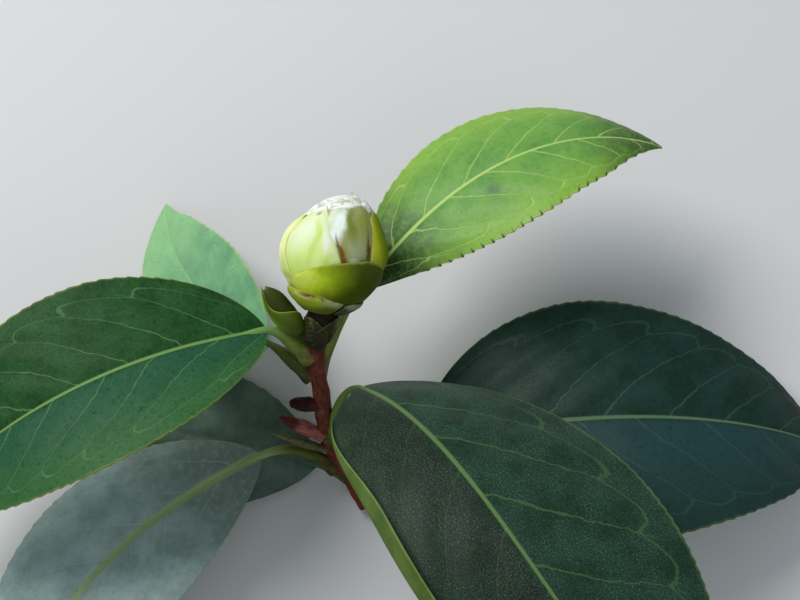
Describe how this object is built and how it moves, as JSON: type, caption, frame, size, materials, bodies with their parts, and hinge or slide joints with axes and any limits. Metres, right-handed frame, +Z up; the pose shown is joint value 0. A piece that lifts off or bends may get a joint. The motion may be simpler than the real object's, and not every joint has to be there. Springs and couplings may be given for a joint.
{
  "type": "camellia twig",
  "caption": "Cut camellia twig lying on a flat surface: a red-brown stem with a fat scaly flower bud, a pointed leaf bud beside it and broad toothed leaves.",
  "frame": {"origin": "middle of the twig's footprint, on the surface that it lies on", "axes": "+Z up from the surface, +X along the longest spread of the leaves, towards the right rear leaf's side"},
  "size_m": [0.1632, 0.1154, 0.0507],
  "materials": {
    "stem_bark": "matte red-brown young bark",
    "bud_silk": "pale silky petals at the bud's tip",
    "bud_scale": "satin yellow-green with a fine down",
    "leaf_bud": "satin bright green with brown-green shade",
    "old_stub": "matte dark maroon",
    "leaf_young": "satin bright yellow-green",
    "leaf_pale": "satin pale bluish green",
    "leaf_grey": "satin grey-green",
    "leaf_dark": "glossy dark green"
  },
  "bodies": {
    "root": {"stem": "stem_bark", "bud_core": "bud_silk", "bud_scale_inner_front": "bud_scale", "bud_scale_inner_back": "bud_scale", "bud_scale_left": "bud_scale", "bud_scale_right": "bud_scale", "bud_scale_outer_left": "bud_scale", "bud_scale_outer_front": "bud_scale", "bud_scale_base_left": "bud_scale", "bud_scale_base_right": "bud_scale", "leaf_bud_core": "leaf_bud", "leaf_bud_scale_left": "leaf_bud", "leaf_bud_scale_right": "leaf_bud", "lower_bud": "leaf_bud", "old_stub_upper": "old_stub", "old_stub_lower": "old_stub", "leaf_1": "leaf_young", "leaf_2": "leaf_pale", "leaf_3": "leaf_dark", "leaf_4": "leaf_grey", "leaf_5": "leaf_dark", "leaf_6": "leaf_dark", "leaf_7": "leaf_pale"}
  },
  "joints": []
}
